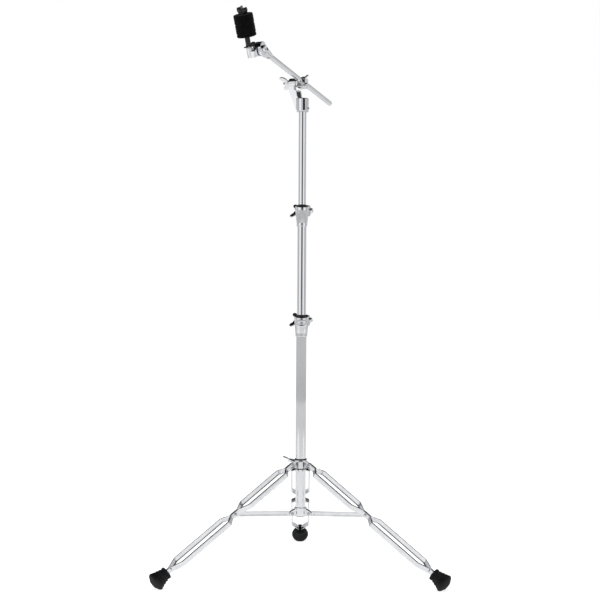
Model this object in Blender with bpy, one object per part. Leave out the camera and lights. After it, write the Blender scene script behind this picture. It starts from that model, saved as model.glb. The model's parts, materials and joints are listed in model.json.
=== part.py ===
"""A cymbal boom stand: folding tripod, two clamped mast tubes, tilting boom and cymbal stem.

Metres, +Z up. The origin is on the floor, under the middle of the bounding box. MAST_Y puts the
mast's axis behind or in front of it. Azimuths are in degrees from +X about the mast.
"""
import math

import bmesh
import bpy
from mathutils import Matrix, Vector

# Driving dimensions -------------------------------------------------------------------------
MAST_Y = -0.0605
GAP = 0.0003                      # clearance between parts that touch
SIDES = 24                        # facets round a tube
PIN_SIDES, WING_SIDES, BOLT_SIDES, SCREW_SIDES = 10, 14, 16, 14
SMALL_EDGE = 0.0008               # chamfer of small parts
FRONT = 270.0                     # azimuth of the stand's front

BASE_R, BASE_BORE = 0.0127, 0.0113
MID_R, MID_BORE = 0.0111, 0.00973
TOP_R, TOP_BORE = 0.009525, 0.0083
BASE_Z = (0.1395, 0.612)
MID_Z = (0.392, 0.885)
TOP_Z = (0.620, 1.1742)

LEG_AZIMUTHS = {"left": 210.0, "right": 330.0, "rear": 90.0}
COLLAR_PIVOT = (0.0242, 0.2660)   # radius from the mast's axis, and height
HUB_PIVOT = (0.0252, 0.1465)
LEG_SLOPE = math.radians(34.3)    # below the horizontal, from the collar to the foot
UPPER_LEG = 0.1914                # from the collar pivot to the waist pivot
LEG_LENGTH = 0.4502               # from the collar pivot to the end of the foot
STRAP_HEIGHT, STRAP_WEB = 0.0128, 0.0018
STRAP_BOW, STRAP_SHUT = 0.0245, 0.0042   # outer face from the leg's middle plane
STAY_HEIGHT, STAY_THICK = 0.0124, 0.0030
FOOT_LENGTH, FOOT_TOP_R, FOOT_R, FOOT_EDGE = 0.0440, 0.0152, 0.0228, 0.0080
PIN_R, PIN_HOLE_R = 0.0025, 0.0028
BOLT_R, BOLT_HOLE_R, NUT_BORE = 0.0030, 0.0034, 0.0033

COLLAR_Z = (0.2578, 0.2785)
COLLAR_BORE, COLLAR_R = 0.0139, 0.0156
COLLAR_BOLT_AZIMUTH, COLLAR_BOLT_Z, COLLAR_BOLT_RISE = 150.0, 0.2688, 12.0
HUB_Z = (0.1398, 0.1610)
HUB_BORE, HUB_R = 0.0130, 0.0156
CHEEK_INSIDE, CHEEK_OUTSIDE = 0.0019, 0.0043   # from a stay's middle plane

CLAMP_HEIGHT = 0.0570
LOWER_CLAMP_Z, UPPER_CLAMP_Z = 0.5850, 0.8590
CLAMP_LUG_AZIMUTH = 68.0
CLAMP_BOLT_OUT, CLAMP_BOLT_DOWN = 0.0232, 0.0160   # from the mast's axis, below the clamp's top
LUG_BEHIND, LUG_AHEAD = 0.0140, 0.0080             # the lugs' outer faces either side of the slot

BOOM_Z = 1.2184                   # height of the boom's tilt axis
BOOM_AZIMUTH = 245.0              # direction of the cymbal end
FACING = 25.0                     # from the boom's direction to the stand's front
BOOM_RISE = math.radians(9.4)
JOINT_DISC_R, TILTER_DISC_R = 0.0112, 0.0165
ROD_R, ROD_REAR, ROD_FRONT = 0.0060, -0.1720, 0.2150
TILTER_OUT = 0.2360               # from the mast along the boom
STEM_LEAN = math.radians(24.0)    # of the cymbal stem from the vertical
STEM_OUT, STEM_SIDE = 0.0290, -0.0142
STEM_R, STEM_LOW, STEM_TOP = 0.0030, -0.0110, 0.1064
WASHER_Z, SLEEVE_Z, FELT_Z = 0.0115, 0.0137, 0.0366
FELT_R, FELT_BORE, SLEEVE_R = 0.0226, 0.0064, 0.0060
FELT_THICKNESSES = {"bottom": 0.0070, "middle": 0.0218, "top": 0.0218}


# Helpers ------------------------------------------------------------------------------------
def clear_scene():
    for old in list(bpy.data.objects):
        bpy.data.objects.remove(old, do_unlink=True)


def material(name, colour, roughness, metallic):
    made = bpy.data.materials.new(name)
    made.use_nodes = True
    shader = made.node_tree.nodes["Principled BSDF"]
    shader.inputs["Base Color"].default_value = (*colour, 1.0)
    shader.inputs["Roughness"].default_value = roughness
    shader.inputs["Metallic"].default_value = metallic
    made.diffuse_color = (*colour, 1.0)
    return made


def mesh_from(bm, name):
    bmesh.ops.recalc_face_normals(bm, faces=bm.faces)
    mesh = bpy.data.meshes.new(name)
    bm.to_mesh(mesh)
    bm.free()
    mesh.shade_smooth()
    mesh.set_sharp_from_angle(angle=math.radians(35))
    return mesh


def turned(profile, sides=SIDES):
    """A closed solid turned about Z. The profile's (radius, height) points are a closed outline,
    or an open one whose first and last points lie on the axis."""
    bm = bmesh.new()
    angles = [2 * math.pi * k / sides for k in range(sides)]
    rings = []
    for radius, height in profile:
        if radius == 0:
            rings.append([bm.verts.new((0, 0, height))])
            continue
        round_points = [(radius * math.cos(a), radius * math.sin(a)) for a in angles]
        rings.append([bm.verts.new((x, y, height)) for x, y in round_points])
    closed = len(rings[0]) > 1
    pairs = zip(rings, rings[1:] + rings[:1]) if closed else zip(rings, rings[1:])
    for low, high in pairs:
        for k in range(sides):
            nxt = (k + 1) % sides
            if len(low) == 1:
                bm.faces.new((low[0], high[k], high[nxt]))
            elif len(high) == 1:
                bm.faces.new((low[k], low[nxt], high[0]))
            else:
                bm.faces.new((low[k], low[nxt], high[nxt], high[k]))
    return bm


def rod_profile(radius, low, high, chamfer=0.0):
    if chamfer == 0:
        return [(0, low), (radius, low), (radius, high), (0, high)]
    inner = radius - chamfer
    return [(0, low), (inner, low), (radius, low + chamfer),
            (radius, high - chamfer), (inner, high), (0, high)]


def ring_profile(bore, radius, low, high, chamfer=0.0003):
    return [(bore, low), (radius - chamfer, low), (radius, low + chamfer),
            (radius, high - chamfer), (radius - chamfer, high), (bore, high)]


def plate(outline, low, high, bevel=0.0):
    """An outline in X and Z, given thickness along Y."""
    bm = bmesh.new()
    face = bm.faces.new([bm.verts.new((x, low, z)) for x, z in outline])
    grown = bmesh.ops.extrude_face_region(bm, geom=[face])
    moved = [item for item in grown["geom"] if isinstance(item, bmesh.types.BMVert)]
    bmesh.ops.translate(bm, verts=moved, vec=(0, high - low, 0))
    if bevel:
        bmesh.ops.recalc_face_normals(bm, faces=bm.faces)
        sharp = [e for e in bm.edges if e.calc_face_angle() > math.radians(50)]
        bmesh.ops.bevel(bm, geom=sharp, offset=bevel, segments=1, affect="EDGES")
    return bm


def block(low, high, bevel=0.0):
    outline = [(low[0], low[2]), (high[0], low[2]), (high[0], high[2]), (low[0], high[2])]
    return plate(outline, low[1], high[1], bevel)


def arc(centre, radius, start, end, count):
    """Points of a circle's arc, in degrees, both ends included."""
    angles = [math.radians(start + (end - start) * k / (count - 1)) for k in range(count)]
    return [(centre[0] + radius * math.cos(a), centre[1] + radius * math.sin(a)) for a in angles]


def place(origin=(0, 0, 0), azimuth=0.0, along=None):
    """Where a shape goes: turned by azimuth about Z, or with its Z along a direction."""
    shift = Matrix.Translation(Vector(origin))
    if along is not None:
        return shift @ Vector(along).to_track_quat("Z", "Y").to_matrix().to_4x4()
    return shift @ spin(azimuth)


def spin(degrees):
    return Matrix.Rotation(math.radians(degrees), 4, "Z")


def empty(name, parent, matrix):
    made = bpy.data.objects.new(name, None)
    bpy.context.scene.collection.objects.link(made)
    made.parent = parent
    made.matrix_local = matrix
    return made


def node(name, bm, finish, parent, matrix=Matrix()):
    mesh = mesh_from(bm, name)
    mesh.materials.append(finish)
    made = bpy.data.objects.new(name, mesh)
    bpy.context.scene.collection.objects.link(made)
    made.parent = parent
    made.matrix_local = matrix
    return made


def combine(target, bm, operation, matrix=Matrix()):
    """Joins a shape to the target or cuts it away. The matrix is in the target's own frame."""
    mesh = mesh_from(bm, target.name + "_tool")
    tool = bpy.data.objects.new(target.name + "_tool", mesh)
    bpy.context.scene.collection.objects.link(tool)
    tool.parent = target
    tool.matrix_local = matrix
    tool.hide_render = True
    tool.display_type = "WIRE"
    change = target.modifiers.new(operation.title(), "BOOLEAN")
    change.operation = operation
    change.solver = "EXACT"
    change.object = tool


def add(target, bm, matrix=Matrix()):
    combine(target, bm, "UNION", matrix)


def cut(target, bm, matrix=Matrix()):
    combine(target, bm, "DIFFERENCE", matrix)


def along_y(radius, low, high, sides=SIDES):
    """A plain cylinder with its axis along Y."""
    bm = turned(rod_profile(radius, low, high), sides)
    bm.transform(Matrix.Rotation(math.radians(-90), 4, "X"))
    return bm


def pin_hole(radius=PIN_HOLE_R):
    return along_y(radius, -0.01, 0.01, PIN_SIDES)


def bolt_hole(low, high):
    return along_y(BOLT_HOLE_R, low, high, BOLT_SIDES)


def winged(name, finish, parent, matrix, hub, start, end, span, shaft=None, bore=NUT_BORE, thickness=0.0034):
    """A wing nut or wing bolt along its own +Z. hub is (radius, low, high), start and end are where
    the wings leave the hub and where their tips stop, and shaft is (radius, low) of a bolt."""
    radius, low, high = hub
    cone = [(radius, low), (radius, low + 0.3 * (high - low)), (0.8 * radius, high)]
    if shaft is None:
        profile = [(bore, low), *cone, (bore, high)]
        root = bore + 0.001
    else:
        thread, tip = shaft
        profile = [(0, tip), (thread, tip), (thread, low), *cone, (0, high)]
        root = 0.72 * radius
    made = node(name, turned(profile, WING_SIDES), finish, parent, matrix)
    half, rise = span / 2, end - start
    wing = [(root, start), (0.55 * half, start + 0.08 * rise), (0.88 * half, start + 0.34 * rise),
            (half, start + 0.66 * rise), (0.96 * half, start + 0.90 * rise), (0.84 * half, end),
            (0.66 * half, end - 0.04 * rise), (0.50 * half, start + 0.76 * rise),
            (root, min(high - 0.0008, start + 0.50 * rise))]
    for side in (1, -1):
        add(made, plate([(side * x, z) for x, z in wing], -thickness / 2, thickness / 2, SMALL_EDGE))


# Sub-parts ----------------------------------------------------------------------------------
def build_base(mast, looks):
    node("base_tube", turned(ring_profile(BASE_BORE, BASE_R, *BASE_Z)), looks["chrome"], mast)
    lip, shank = BASE_R - GAP, BASE_BORE - GAP - 0.0001
    bottom = BASE_Z[0] - 0.0014
    inside = BASE_Z[0] + 0.012
    plug = [(0, bottom), (lip, bottom), (lip, BASE_Z[0] - GAP), (shank, BASE_Z[0] - GAP),
            (shank, inside), (0, inside)]
    node("base_tube_plug", turned(plug), looks["plastic"], mast)
    hub = node("hub_bracket", turned(ring_profile(HUB_BORE, HUB_R, *HUB_Z)), looks["chrome"], mast)
    low, high = HUB_Z
    radius, height = HUB_PIVOT
    cheek = [(0.0139, low + 0.0004), (radius + 0.002, low + 0.0004),
             *arc((radius, height + 0.0004), 0.0068, -60, 75, 6),
             (0.0185, high - 0.0042), (0.0139, high - 0.0006)]
    for azimuth in LEG_AZIMUTHS.values():
        turn = place(azimuth=azimuth)
        for side in ((CHEEK_INSIDE, CHEEK_OUTSIDE), (-CHEEK_OUTSIDE, -CHEEK_INSIDE)):
            add(hub, plate(cheek, *side), turn)
        cut(hub, pin_hole(), turn @ place((radius, 0, height)))


def build_collar(mast, looks):
    """The sliding collar, on an empty at its slide's zero."""
    slide = empty("collar_axis", mast, place((0, 0, COLLAR_PIVOT[1])))
    low, high = COLLAR_Z[0] - COLLAR_PIVOT[1], COLLAR_Z[1] - COLLAR_PIVOT[1]
    ring = ring_profile(COLLAR_BORE, COLLAR_R, low, high, SMALL_EDGE)
    collar = node("leg_collar", turned(ring), looks["chrome"], slide)
    radius = COLLAR_PIVOT[0]
    ear = [(0.0146, low + 0.0015), (radius - 0.002, low + 0.003), *arc((radius, 0), 0.0056, -60, 75, 6),
           (0.0180, high - 0.0030), (0.0146, high - 0.0022)]
    for azimuth in LEG_AZIMUTHS.values():
        turn = place(azimuth=azimuth)
        add(collar, plate(ear, -0.0020, 0.0020), turn)
        cut(collar, pin_hole(PIN_R + 0.0002), turn @ place((radius, 0, 0)))
    panel = block((0.0145, -0.0075, low + 0.004), (0.0178, 0.0075, high - 0.004), SMALL_EDGE)
    add(collar, panel, place(azimuth=FRONT))
    azimuth, rise = math.radians(COLLAR_BOLT_AZIMUTH), math.radians(COLLAR_BOLT_RISE)
    outward = (math.cos(azimuth) * math.cos(rise), math.sin(azimuth) * math.cos(rise), math.sin(rise))
    bolt = place((0, 0, COLLAR_BOLT_Z - COLLAR_PIVOT[1]), along=outward)
    add(collar, turned(rod_profile(0.0058, 0.0150, 0.0225, SMALL_EDGE), 20), bolt)
    cut(collar, turned(rod_profile(BOLT_HOLE_R, 0.0100, 0.0260), BOLT_SIDES), bolt)
    bore, lip = BASE_R + 0.0002, 0.0152
    shank, bottom, top = COLLAR_BORE - GAP, low - 0.0025, high + 0.0025
    sleeve = [(bore, bottom), (lip, bottom), (lip, low - GAP), (shank, low - GAP),
              (shank, high + GAP), (lip, high + GAP), (lip, top), (bore, top)]
    node("collar_bushing", turned(sleeve), looks["plastic"], slide)
    winged("collar_wing_bolt", looks["chrome"], slide, bolt @ spin(25),
           (0.0052, 0.0240, 0.0345), 0.0265, 0.0450, 0.0380, shaft=(BOLT_R, 0.0150))
    for name, azimuth in LEG_AZIMUTHS.items():
        node(f"{name}_leg_top_pin", along_y(PIN_R, -0.0021, 0.0021, PIN_SIDES), looks["steel"], slide,
             place(azimuth=azimuth) @ place((radius, 0, 0)))


def strap(side):
    """One strap of a leg in the waist's frame: X down the leg, Y across it. Its web bows out from
    the leg's middle plane between the ends, and its flanges turn in only where it is bowed."""
    top, tip = -UPPER_LEG, LEG_LENGTH - UPPER_LEG - FOOT_LENGTH
    shut, bow = STRAP_SHUT, STRAP_BOW
    flat, deep = STRAP_WEB + 0.0001, 0.0040
    # each station: place along the leg, web's outer face, flange depth, share of the full height
    stations = [(top - 0.0062, shut, flat, 0.40), (top - 0.0045, shut, flat, 0.80),
                (top, shut, flat, 1.0), (top + 0.0195, shut, flat, 1.0),
                (top + 0.0228, shut + 0.0045, deep, 1.0), (top + 0.0335, bow, deep, 1.0),
                (-0.0350, bow, deep, 1.0), (-0.0145, shut + 0.0040, deep, 1.0),
                (-0.0098, shut, flat, 1.0), (0.0115, shut, flat, 1.0),
                (0.0152, shut + 0.0040, deep, 1.0), (0.0300, bow, deep, 1.0),
                (tip - 0.0380, bow, deep, 1.0), (tip - 0.0130, shut + 0.0035, deep, 1.0),
                (tip - 0.0080, shut, flat, 1.0), (tip + 0.0180, shut, flat, 1.0)]
    lip = 0.0016
    bm = bmesh.new()
    rings = []
    for x, out, depth, tall in stations:
        half = tall * STRAP_HEIGHT / 2
        edge, inside, reach = half - lip, out - STRAP_WEB, out - depth
        section = [(out, half), (out, -half), (reach, -half), (reach, -edge),
                   (inside, -edge), (inside, edge), (reach, edge), (reach, half)]
        rings.append([bm.verts.new((x, side * y, z)) for y, z in section])
    count = len(rings[0])
    for one, two in zip(rings, rings[1:]):
        for k in range(count):
            nxt = (k + 1) % count
            bm.faces.new((one[k], one[nxt], two[nxt], two[k]))
    bm.faces.new(rings[0])
    bm.faces.new(rings[-1])
    return bm


def foot():
    """The rubber foot in the waist's frame turned so that Z runs down the leg."""
    top = LEG_LENGTH - UPPER_LEG - FOOT_LENGTH
    end = LEG_LENGTH - UPPER_LEG
    rim = end - 0.0120                   # where the rounded edge's centre lies
    inner = FOOT_R - FOOT_EDGE
    profile = [(0, top), (FOOT_TOP_R - 0.0012, top), (FOOT_TOP_R, top + 0.0012),
               (FOOT_TOP_R, top + 0.0056)]
    for k in range(3):
        start = top + 0.0066 + 0.0074 * k
        wall = FOOT_TOP_R - 0.0002 + 0.0021 * k
        profile += [(wall - 0.0010, start), (wall + 0.0008, start + 0.0012), (wall + 0.0014, start + 0.0062)]
    edge = arc((0, 0), FOOT_EDGE, 10, 78, 4)
    profile += [(inner + x, rim + y) for x, y in edge]
    profile.append((0, end))
    return turned(profile, 18)


def build_legs(mast, looks):
    """Each leg hangs on a hinge at the waist of its stay, and the stay on a hinge at the hub."""
    hub_r, hub_z = HUB_PIVOT
    waist_r = COLLAR_PIVOT[0] + UPPER_LEG * math.cos(LEG_SLOPE)
    waist_z = COLLAR_PIVOT[1] - UPPER_LEG * math.sin(LEG_SLOPE)
    stay_length = math.hypot(waist_r - hub_r, waist_z - hub_z)
    stay_rise = math.atan2(waist_z - hub_z, waist_r - hub_r)
    half = STAY_HEIGHT / 2
    outline = [*arc((0, 0), half, 90, 270, 9), *arc((stay_length, 0), half, -90, 90, 9)]
    tip = LEG_LENGTH - UPPER_LEG - FOOT_LENGTH
    rivet_head = [(0, -0.0006), (0.0036, -0.0006), (0.0036, 0.0006), (0.0022, 0.0013), (0, 0.0016)]
    for name, azimuth in LEG_AZIMUTHS.items():
        outward = place(azimuth=azimuth)
        at_hub = outward @ place((hub_r, 0, hub_z))
        at_waist = outward @ place((waist_r, 0, waist_z))
        hinge = empty(f"{name}_stay_axis", mast, at_hub @ Matrix.Rotation(-stay_rise, 4, "Y"))
        bar = plate(outline, -STAY_THICK / 2, STAY_THICK / 2)
        stay = node(f"{name}_stay", bar, looks["chrome"], hinge)
        for x in (0, stay_length):
            cut(stay, pin_hole(), place((x, 0, 0)))
        node(f"{name}_hub_pin", rivet(CHEEK_OUTSIDE), looks["steel"], mast, at_hub)
        waist = empty(f"{name}_leg_axis", mast, at_waist @ Matrix.Rotation(LEG_SLOPE, 4, "Y"))
        node(f"{name}_waist_pin", rivet(STRAP_SHUT), looks["steel"], waist)
        for label, side in (("outer", -1), ("inner", 1)):
            made = node(f"{name}_leg_{label}_strap", strap(side), looks["chrome"], waist)
            cut(made, pin_hole())
            top_face = place((-UPPER_LEG, side * STRAP_SHUT, 0), along=(0, side, 0))
            add(made, turned(rivet_head, PIN_SIDES), top_face)
        upright = Matrix.Rotation(math.radians(90), 4, "Y")
        rubber = node(f"{name}_foot", foot(), looks["rubber"], waist, upright)
        pocket = (STRAP_HEIGHT / 2 + GAP, STRAP_SHUT + GAP)
        cut(rubber, block((-pocket[0], -pocket[1], tip - 0.002), (pocket[0], pocket[1], tip + 0.0186)))
        floor = (waist.matrix_basis @ upright).inverted() @ outward
        cut(rubber, block((0.30, -0.05, -0.05), (0.45, 0.05, 0.0)), floor)


def rivet(reach):
    """A pin through a pivot along Y, with a domed head past each outer face at +-reach."""
    far = reach + GAP
    head = [(PIN_R, far), (0.0038, far), (0.0038, far + 0.0006), (0.0024, far + 0.0014), (0, far + 0.0017)]
    profile = [(r, -z) for r, z in reversed(head)] + head
    bm = turned(profile, PIN_SIDES)
    bm.transform(Matrix.Rotation(math.radians(-90), 4, "X"))
    return bm


def build_clamp(prefix, parent, low, sleeve_bore, looks, outer_bore, taper):
    """A height clamp: a split casting on the lower tube's end, with a nylon bushing round the
    upper tube. taper is the casting's radius at the bottom, and at the top."""
    high = CLAMP_HEIGHT
    bore = outer_bore + GAP
    foot_r, head_r = taper
    frame = empty(f"{prefix}_clamp_frame", parent, place((0, 0, low)))
    profile = [(bore, 0), (foot_r - SMALL_EDGE, 0), (foot_r, SMALL_EDGE), (foot_r, 0.0080),
               (head_r - 0.0006, high * 0.55), (head_r, high * 0.70), (head_r, high), (bore, high)]
    casting = node(f"{prefix}_clamp", turned(profile), looks["chrome"], frame)
    lug = place(azimuth=CLAMP_LUG_AZIMUTH)
    bolt_z = high - CLAMP_BOLT_DOWN
    root, shoulder = head_r - 0.0018, CLAMP_BOLT_OUT - 0.003
    outline = [(root, bolt_z - 0.0150), (shoulder, bolt_z - 0.0130),
               *arc((CLAMP_BOLT_OUT, bolt_z), 0.0085, -80, 80, 7),
               (shoulder, bolt_z + 0.0120), (root, bolt_z + 0.0130)]
    add(casting, plate(outline, -LUG_BEHIND, LUG_AHEAD, 0.0009), lug)
    panel = block((root, -0.0072, 0.0210), (head_r + 0.0011, 0.0072, 0.0420), SMALL_EDGE)
    add(casting, panel, place(azimuth=FRONT))
    slot = block((0.004, -0.0012, high - 0.0350), (0.060, 0.0012, high + 0.010))
    cut(casting, slot, lug)
    bolt_place = lug @ place((CLAMP_BOLT_OUT, 0, bolt_z), along=(0, 1, 0))
    cut(casting, turned(rod_profile(BOLT_HOLE_R, -0.0300, 0.0300), BOLT_SIDES), bolt_place)
    slant = block((-0.05, -0.05, 0), (0.05, 0.05, 0.05))
    cut(casting, slant, place((0, 0, high - 0.0055)) @ Matrix.Rotation(math.radians(16), 4, "X"))
    sleeve_low, sleeve_high = 0.0275, high - 0.0028
    inside = [(sleeve_bore, sleeve_low), (outer_bore, sleeve_low), (outer_bore, sleeve_high - 0.0012),
              (outer_bore - 0.0012, sleeve_high), (sleeve_bore, sleeve_high)]
    node(f"{prefix}_clamp_bushing", turned(inside), looks["plastic"], frame)
    head, tip = -LUG_BEHIND - GAP, 0.0270
    screw = [(0, head - 0.0050), (0.0045, head - 0.0050), (0.0058, head - 0.0036), (0.0058, head),
             (BOLT_R, head), (BOLT_R, tip), (0, tip)]
    node(f"{prefix}_clamp_bolt", turned(screw, 18), looks["steel"], frame, bolt_place)
    axis = empty(f"{prefix}_wing_nut_axis", frame, bolt_place)
    winged(f"{prefix}_clamp_wing_nut", looks["chrome"], axis, spin(-50),
           (0.0064, LUG_AHEAD + GAP, 0.0240), 0.0205, 0.0375, 0.0430)


def build_mast(mast, looks):
    """The two sliding tubes, each on an empty at its slide's zero, and the clamps that hold them."""
    build_clamp("lower", mast, LOWER_CLAMP_Z, MID_R + 0.0002, looks, BASE_R, (0.0149, 0.0180))
    mid = empty("mid_tube_axis", mast, place((0, 0, LOWER_CLAMP_Z)))
    tube = ring_profile(MID_BORE, MID_R, *(z - LOWER_CLAMP_Z for z in MID_Z))
    node("mid_tube", turned(tube), looks["chrome"], mid)
    build_clamp("upper", mid, UPPER_CLAMP_Z - LOWER_CLAMP_Z, TOP_R + 0.0002, looks, MID_R, (0.0133, 0.0168))
    top = empty("top_tube_axis", mast, place((0, 0, UPPER_CLAMP_Z)))
    tube = ring_profile(TOP_BORE, TOP_R, *(z - UPPER_CLAMP_Z for z in TOP_Z))
    node("top_tube", turned(tube), looks["chrome"], top)


def build_boom_base(mast, looks):
    """The casting on the top tube. Its X points along the boom and its Y along the tilt axis."""
    swivel = empty("boom_swivel_axis", mast, place((0, 0, BOOM_Z), BOOM_AZIMUTH))
    bottom, top = -0.0740, -0.0410
    bore = TOP_R + GAP
    barrel = [(0, top), (0.0146, top), (0.0156, top - 0.0020),
              (0.0150, bottom + 0.0010), (0.0142, bottom), (0, bottom)]
    base = node("boom_base", turned(barrel), looks["chrome"], swivel)
    arm = [(0.0135, -0.0560), (0.0135, -0.0425), (-0.0030, -0.0402), (-0.0052, -0.0330), (-0.0070, -0.0208),
           (-0.0165, -0.0198), (-0.0213, -0.0160), (-0.0213, 0.0040), (-0.0345, 0.0040), (-0.0348, -0.0160),
           (-0.0330, -0.0240), (-0.0238, -0.0450), (-0.0158, -0.0670), (-0.0135, -0.0690),
           (-0.0105, -0.0560)]
    add(base, turned_plate(arm, -0.0072, 0.0072))
    recess = [(-0.0065, -0.0222), (0.0180, -0.0222), (0.0180, -0.0396),
              (-0.0015, -0.0396), (-0.0050, -0.0330)]
    cut(base, turned_plate(recess, 0, 0.0200), place((0, -0.0110, 0), FACING))
    pad = block((0.0100, -0.0005, bottom + 0.0012), (0.0162, 0.0068, top - 0.0020), SMALL_EDGE)
    add(base, pad, spin(FACING))
    add(base, along_y(JOINT_DISC_R, -0.0344, -0.0163))
    cut(base, bolt_hole(-0.0600, 0.0100))
    cut(base, turned(rod_profile(bore, -0.1000, top - 0.0026)))
    screw_place = place((0, 0, -0.0660), along=(-0.05, 1, 0))
    cut(base, turned(rod_profile(0.0026, 0.0080, 0.0300), SCREW_SIDES), screw_place)
    screw = turned(rod_profile(0.0023, bore, 0.0172, 0.0004), SCREW_SIDES)
    node("boom_base_set_screw", screw, looks["steel"], swivel, screw_place)
    return swivel


def turned_plate(outline, low, high):
    """An outline in Y and Z, given thickness along X."""
    bm = plate(outline, -high, -low, 0.0010)
    bm.transform(Matrix.Rotation(math.radians(90), 4, "Z"))
    return bm


def build_boom(swivel, looks):
    """The tilting clamp with the rod through it. X is along the rod, Y along the tilt axis."""
    tilt = empty("boom_tilt_axis", swivel, Matrix.Rotation(-BOOM_RISE, 4, "Y"))
    body = block((-0.0100, -0.0115, -0.0150), (0.0100, 0.0105, 0.0085), 0.0016)
    clamp = node("boom_clamp", body, looks["chrome"], tilt)
    wing_frame = place((-0.0060, -0.0010, 0)) @ Matrix.Rotation(math.radians(8), 4, "X")
    along_rod, along_bolt = place(along=(1, 0, 0)), place(along=(0, -1, 0))
    add(clamp, along_y(JOINT_DISC_R, -0.0158, -0.0095))
    add(clamp, turned(rod_profile(0.0052, 0.0040, 0.0108, 0.0006), 18), wing_frame)
    add(clamp, along_y(0.0058, 0.0090, 0.0135, 18), place((0, 0, -0.0085)))
    cut(clamp, block((-0.0110, 0.0014, -0.0110), (0.0110, 0.0200, -0.0092)))
    cut(clamp, turned(rod_profile(ROD_R + GAP, -0.0200, 0.0200)), along_rod)
    cut(clamp, bolt_hole(-0.0300, -0.0030))
    cut(clamp, along_y(0.0050, -0.0098, -0.0030, BOLT_SIDES))
    cut(clamp, turned(rod_profile(0.0030, 0.0030, 0.0300), SCREW_SIDES), wing_frame)
    bolt = [(0, 0.0068), (0.0045, 0.0068), (0.0045, 0.0093),
            (BOLT_R, 0.0093), (BOLT_R, 0.0530), (0, 0.0530)]
    node("tilt_bolt", turned(bolt, BOLT_SIDES), looks["steel"], tilt, along_bolt)
    nut_axis = empty("tilt_wing_nut_axis", tilt, along_bolt)
    winged("tilt_wing_nut", looks["chrome"], nut_axis, spin(27),
           (0.0070, 0.0352, 0.0480), 0.0385, 0.0580, 0.0420)
    winged("boom_wing_bolt", looks["chrome"], tilt, wing_frame @ spin(90),
           (0.0042, 0.0113, 0.0160), 0.0118, 0.0190, 0.0300, shaft=(0.0026, 0.0066), thickness=0.0030)
    slide = empty("boom_rod_axis", tilt, Matrix())
    rod = turned(rod_profile(ROD_R, ROD_REAR, ROD_FRONT, 0.0012))
    node("boom_rod", rod, looks["chrome"], slide, along_rod)
    return slide


def build_tilter(slide, looks):
    """The boom rod's end fitting: a socket with a ratchet disc. X is along the rod."""
    head = empty("tilter_frame", slide, place((TILTER_OUT, 0, 0)))
    socket = node("tilter_socket", along_y(TILTER_DISC_R, GAP, 0.0078), looks["chrome"], head)
    sleeve = [(0, -0.0480), (0.0072, -0.0480), (0.0080, -0.0472),
              (0.0128, -0.0132), (0.0076, -0.0086), (0.0060, -0.0020), (0, -0.0020)]
    along_rod = place(along=(1, 0, 0))
    add(socket, turned(sleeve), along_rod)
    rod_end = ROD_FRONT - TILTER_OUT + GAP
    cut(socket, turned(rod_profile(ROD_R + GAP, -0.0600, rod_end)), along_rod)
    clear = TILTER_DISC_R + 0.0013
    cut(socket, block((-clear, -0.0150, -clear), (clear, 0, clear)))
    cut(socket, bolt_hole(-0.0200, 0.0200))
    screw_place = place((-0.0360, 0, 0), along=(0, 0.25, -1))
    cut(socket, turned(rod_profile(0.0025, 0.0040, 0.0200), SCREW_SIDES), screw_place)
    screw = turned(rod_profile(0.0022, ROD_R + GAP, 0.0108, 0.0004), SCREW_SIDES)
    node("tilter_set_screw", screw, looks["steel"], head, screw_place)
    return head


def build_stem(head, looks):
    """The cymbal stem's yoke and all it carries. Z is along the stem, Y along the tilt axis."""
    lean = empty("cymbal_tilt_axis", head, Matrix.Rotation(BOOM_RISE + STEM_LEAN, 4, "Y"))
    yoke = node("tilter_yoke", along_y(TILTER_DISC_R, -0.0078, -GAP), looks["chrome"], lean)
    far = STEM_OUT + 0.0050
    bar = [(0.0020, -0.0124), (far, -0.0124), (far, 0.0020), (0.0200, 0.0050), (0.0100, 0.0090)]
    boss = rod_profile(0.0068, -0.0125, 0.0105, SMALL_EDGE)
    at_stem = place((STEM_OUT, STEM_SIDE, 0))
    add(yoke, plate(bar, -0.0076, -0.0010, 0.0010))
    add(yoke, block((0.0238, STEM_SIDE, -0.0123), (far - 0.0001, -0.0012, 0.0018), 0.0014))
    add(yoke, turned(boss), at_stem)
    cut(yoke, turned(rod_profile(STEM_R + GAP, STEM_LOW - GAP, 0.0300), BOLT_SIDES), at_stem)
    cut(yoke, bolt_hole(-0.0200, 0.0200))
    bolt = [(0, -0.0131), (0.0062, -0.0131), (0.0076, -0.0116), (0.0076, -0.0082),
            (BOLT_R, -0.0082), (BOLT_R, 0.0240), (0, 0.0240)]
    along_bolt = place(along=(0, -1, 0))
    node("tilter_bolt", turned(bolt, 18), looks["steel"], head, along_bolt)
    nut_axis = empty("tilter_wing_nut_axis", head, along_bolt)
    winged("tilter_wing_nut", looks["chrome"], nut_axis, spin(100),
           (0.0066, 0.0081, 0.0185), 0.0100, 0.0280, 0.0410)
    post = empty("stem_axis", lean, at_stem)
    stem = turned(rod_profile(STEM_R, STEM_LOW, STEM_TOP, 0.0006), BOLT_SIDES)
    node("cymbal_stem", stem, looks["steel"], post)
    build_cymbal_seat(post, looks)


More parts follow.
